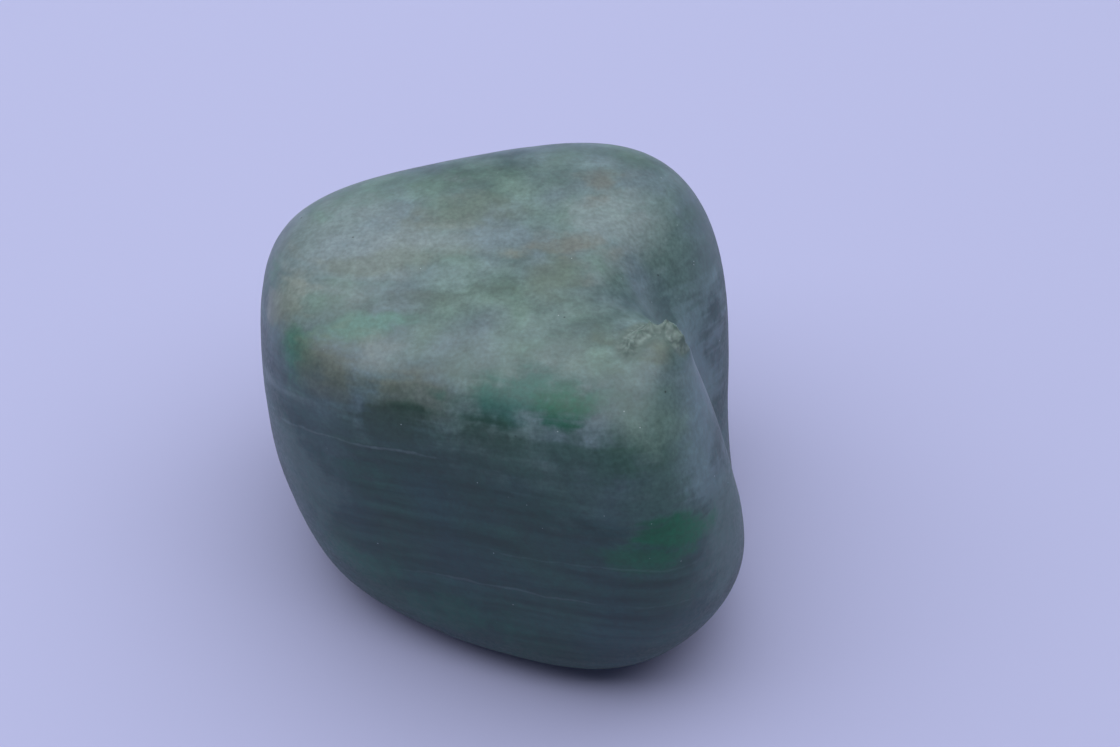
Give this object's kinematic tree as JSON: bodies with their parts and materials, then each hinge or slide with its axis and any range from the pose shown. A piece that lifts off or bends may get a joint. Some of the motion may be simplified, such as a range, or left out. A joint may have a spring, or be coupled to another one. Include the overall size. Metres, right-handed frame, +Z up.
{
  "type": "raw jade boulder",
  "caption": "Hand-sized water-worn boulder of grey-green jade with a hollow flank and a rough crusty lip beside it, resting on a flat worn base.",
  "frame": {"origin": "middle of the bounding box in plan, on the plane that the stone rests on", "axes": "+Z up, +X towards the flank with the hollow, +Y towards the back"},
  "size_m": [0.063, 0.0626, 0.0526],
  "materials": {
    "waxy_jadeite": "waxy water-worn skin, half-polished, cloudy grey-green with emerald and olive patches"
  },
  "bodies": {
    "root": {"jade_boulder": "waxy_jadeite"}
  },
  "joints": []
}
